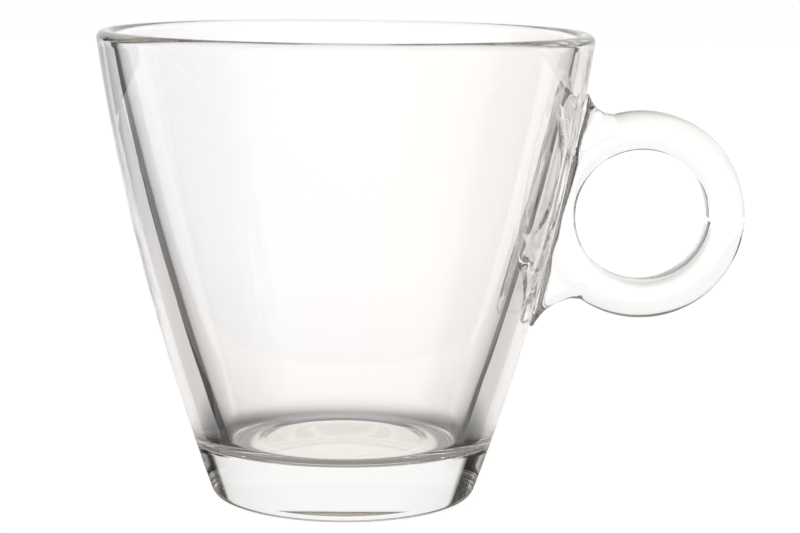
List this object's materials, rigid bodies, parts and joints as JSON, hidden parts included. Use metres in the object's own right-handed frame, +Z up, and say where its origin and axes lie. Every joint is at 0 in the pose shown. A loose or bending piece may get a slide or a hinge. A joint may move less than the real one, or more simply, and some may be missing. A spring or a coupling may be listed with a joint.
{
  "type": "glass cappuccino cup",
  "caption": "Clear glass cappuccino cup with a flared bowl on a heavy solid foot and a round ring handle for one finger.",
  "frame": {"origin": "middle of the bowl's flat base, on the surface that the cup stands on", "axes": "+Z up along the bowl's axis, +X from the bowl towards the handle"},
  "size_m": [0.116, 0.0884, 0.084],
  "materials": {
    "bowl_glass": "clear pressed glass, fire-polished, a trace warm in the thick foot",
    "handle_glass": "clear pressed glass, fire-polished, faintly wavy"
  },
  "bodies": {
    "root": {"bowl": "bowl_glass", "ring_handle": "handle_glass"}
  },
  "joints": []
}
